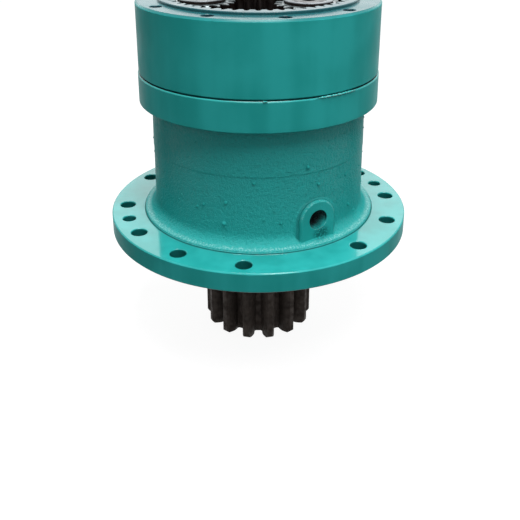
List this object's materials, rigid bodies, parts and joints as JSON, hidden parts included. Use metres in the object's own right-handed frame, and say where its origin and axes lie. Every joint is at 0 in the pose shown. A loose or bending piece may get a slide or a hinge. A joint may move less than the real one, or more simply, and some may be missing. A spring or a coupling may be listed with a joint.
{
  "type": "swing gear reducer",
  "caption": "Upright planetary swing gearbox: round bolting flange, flared cast neck, ring gear open on top over planets and sun, and an output pinion below.",
  "frame": {"origin": "on the shaft's axis, in the mounting face under the flange", "axes": "+Z along the shaft, from the pinion up to the input; -Y is the mirror line of the flange's holes, a few degrees from the oil port"},
  "size_m": [0.43, 0.43, 0.504],
  "materials": {
    "teal_paint_casting": "sprayed teal enamel over sand-cast iron, glossy on machined faces",
    "teal_paint_ring": "sprayed teal enamel over turned steel, bare ground steel at teeth and register",
    "pinion_steel": "hardened steel with a dark oiled film",
    "gear_steel": "case-hardened and ground, lightly oiled",
    "bearing_steel": "ground and polished",
    "forged_steel": "turned and oiled",
    "spring_steel": "phosphated black",
    "cage_steel": "pressed sheet",
    "bronze": "machined bearing bronze",
    "seal_rubber": "nitrile rubber",
    "retainer_iron": "machined iron with a dark preservative"
  },
  "bodies": {
    "housing": {"housing": "teal_paint_casting", "ring_gear": "teal_paint_ring", "ring_dowel_pins": "bearing_steel", "ring_face_seal": "seal_rubber", "lower_bearing_cup": "bearing_steel", "upper_bearing_cup": "bearing_steel", "seal_retainer": "retainer_iron", "retainer_bolts": "spring_steel", "retainer_face_seal": "seal_rubber", "shaft_seal": "seal_rubber", "seal_garter_spring": "bearing_steel"},
    "output_shaft": {"pinion_shaft": "pinion_steel", "seal_sleeve": "bearing_steel", "lower_bearing_cone": "bearing_steel", "upper_bearing_cone": "bearing_steel", "nut_lock_washer": "forged_steel", "bearing_nut": "forged_steel", "lower_carrier": "forged_steel", "shaft_end_plate": "forged_steel", "end_plate_bolts": "spring_steel", "lower_planet_pins": "bearing_steel", "lower_roll_pins": "spring_steel", "lower_thrust_washers": "bronze", "sun_thrust_washer": "bronze"},
    "lower_bearing_set": {"lower_bearing_cage": "cage_steel", "lower_bearing_rollers": "bearing_steel"},
    "upper_bearing_set": {"upper_bearing_cage": "cage_steel", "upper_bearing_rollers": "bearing_steel"},
    "upper_carrier": {"lower_sun": "gear_steel", "upper_carrier": "forged_steel", "sun_circlip": "spring_steel", "stage_thrust_ring": "bronze", "upper_planet_pins": "spring_steel", "upper_roll_pins": "spring_steel", "upper_thrust_washers": "bronze", "planet_cap_washers": "gear_steel", "planet_pin_circlips": "spring_steel", "input_thrust_washer": "bronze"},
    "input_sun": {"input_sun": "gear_steel"},
    "lower_planet_1": {"lower_planet_1": "gear_steel"},
    "lower_needles_1": {"lower_needles_1": "bearing_steel"},
    "lower_planet_2": {"lower_planet_2": "gear_steel"},
    "lower_needles_2": {"lower_needles_2": "bearing_steel"},
    "lower_planet_3": {"lower_planet_3": "gear_steel"},
    "lower_needles_3": {"lower_needles_3": "bearing_steel"},
    "lower_planet_4": {"lower_planet_4": "gear_steel"},
    "lower_needles_4": {"lower_needles_4": "bearing_steel"},
    "upper_planet_1": {"upper_planet_1": "gear_steel"},
    "upper_needles_1": {"upper_needles_1": "bearing_steel"},
    "upper_planet_2": {"upper_planet_2": "gear_steel"},
    "upper_needles_2": {"upper_needles_2": "bearing_steel"},
    "upper_planet_3": {"upper_planet_3": "gear_steel"},
    "upper_needles_3": {"upper_needles_3": "bearing_steel"}
  },
  "joints": [
    {"name": "output_spin", "type": "hinge", "parent": "housing", "child": "output_shaft", "pos_m": [0, 0, 0.02], "axis": [0, 0, 1], "continuous": true},
    {"name": "lower_bearing_roll", "type": "hinge", "parent": "housing", "child": "lower_bearing_set", "pos_m": [0, 0, 0.02], "axis": [0, 0, 1], "continuous": true},
    {"name": "upper_bearing_roll", "type": "hinge", "parent": "housing", "child": "upper_bearing_set", "pos_m": [0, 0, 0.125], "axis": [0, 0, 1], "continuous": true},
    {"name": "upper_carrier_spin", "type": "hinge", "parent": "housing", "child": "upper_carrier", "pos_m": [0, 0, 0.3], "axis": [0, 0, 1], "continuous": true},
    {"name": "input_spin", "type": "hinge", "parent": "housing", "child": "input_sun", "pos_m": [0, 0, 0.32], "axis": [0, 0, 1], "continuous": true},
    {"name": "lower_planet_1_spin", "type": "hinge", "parent": "output_shaft", "child": "lower_planet_1", "pos_m": [0.046, -0.06667, 0.2575], "axis": [0, 0, 1], "continuous": true},
    {"name": "lower_needles_1_roll", "type": "hinge", "parent": "output_shaft", "child": "lower_needles_1", "pos_m": [0.046, -0.06667, 0.2575], "axis": [0, 0, 1], "continuous": true},
    {"name": "lower_planet_2_spin", "type": "hinge", "parent": "output_shaft", "child": "lower_planet_2", "pos_m": [0.06667, 0.046, 0.2575], "axis": [0, 0, 1], "continuous": true},
    {"name": "lower_needles_2_roll", "type": "hinge", "parent": "output_shaft", "child": "lower_needles_2", "pos_m": [0.06667, 0.046, 0.2575], "axis": [0, 0, 1], "continuous": true},
    {"name": "lower_planet_3_spin", "type": "hinge", "parent": "output_shaft", "child": "lower_planet_3", "pos_m": [-0.046, 0.06667, 0.2575], "axis": [0, 0, 1], "continuous": true},
    {"name": "lower_needles_3_roll", "type": "hinge", "parent": "output_shaft", "child": "lower_needles_3", "pos_m": [-0.046, 0.06667, 0.2575], "axis": [0, 0, 1], "continuous": true},
    {"name": "lower_planet_4_spin", "type": "hinge", "parent": "output_shaft", "child": "lower_planet_4", "pos_m": [-0.06667, -0.046, 0.2575], "axis": [0, 0, 1], "continuous": true},
    {"name": "lower_needles_4_roll", "type": "hinge", "parent": "output_shaft", "child": "lower_needles_4", "pos_m": [-0.06667, -0.046, 0.2575], "axis": [0, 0, 1], "continuous": true},
    {"name": "upper_planet_1_spin", "type": "hinge", "parent": "upper_carrier", "child": "upper_planet_1", "pos_m": [0.046, -0.06667, 0.318], "axis": [0, 0, 1], "continuous": true},
    {"name": "upper_needles_1_roll", "type": "hinge", "parent": "upper_carrier", "child": "upper_needles_1", "pos_m": [0.046, -0.06667, 0.318], "axis": [0, 0, 1], "continuous": true},
    {"name": "upper_planet_2_spin", "type": "hinge", "parent": "upper_carrier", "child": "upper_planet_2", "pos_m": [0.03474, 0.07317, 0.318], "axis": [0, 0, 1], "continuous": true},
    {"name": "upper_needles_2_roll", "type": "hinge", "parent": "upper_carrier", "child": "upper_needles_2", "pos_m": [0.03474, 0.07317, 0.318], "axis": [0, 0, 1], "continuous": true},
    {"name": "upper_planet_3_spin", "type": "hinge", "parent": "upper_carrier", "child": "upper_planet_3", "pos_m": [-0.08074, -0.0065, 0.318], "axis": [0, 0, 1], "continuous": true},
    {"name": "upper_needles_3_roll", "type": "hinge", "parent": "upper_carrier", "child": "upper_needles_3", "pos_m": [-0.08074, -0.0065, 0.318], "axis": [0, 0, 1], "continuous": true}
  ],
  "couplings": [
    {"joint": "lower_bearing_roll", "follows": "output_spin", "ratio": 0.4334},
    {"joint": "upper_bearing_roll", "follows": "output_spin", "ratio": 0.4318},
    {"joint": "upper_carrier_spin", "follows": "output_spin", "ratio": 4},
    {"joint": "input_spin", "follows": "output_spin", "ratio": 16},
    {"joint": "lower_planet_1_spin", "follows": "output_spin", "ratio": -3},
    {"joint": "lower_needles_1_roll", "follows": "output_spin", "ratio": -1.68},
    {"joint": "lower_planet_2_spin", "follows": "output_spin", "ratio": -3},
    {"joint": "lower_needles_2_roll", "follows": "output_spin", "ratio": -1.68},
    {"joint": "lower_planet_3_spin", "follows": "output_spin", "ratio": -3},
    {"joint": "lower_needles_3_roll", "follows": "output_spin", "ratio": -1.68},
    {"joint": "lower_planet_4_spin", "follows": "output_spin", "ratio": -3},
    {"joint": "lower_needles_4_roll", "follows": "output_spin", "ratio": -1.68},
    {"joint": "upper_planet_1_spin", "follows": "output_spin", "ratio": -12},
    {"joint": "upper_needles_1_roll", "follows": "output_spin", "ratio": -6.7826},
    {"joint": "upper_planet_2_spin", "follows": "output_spin", "ratio": -12},
    {"joint": "upper_needles_2_roll", "follows": "output_spin", "ratio": -6.7826},
    {"joint": "upper_planet_3_spin", "follows": "output_spin", "ratio": -12},
    {"joint": "upper_needles_3_roll", "follows": "output_spin", "ratio": -6.7826}
  ]
}
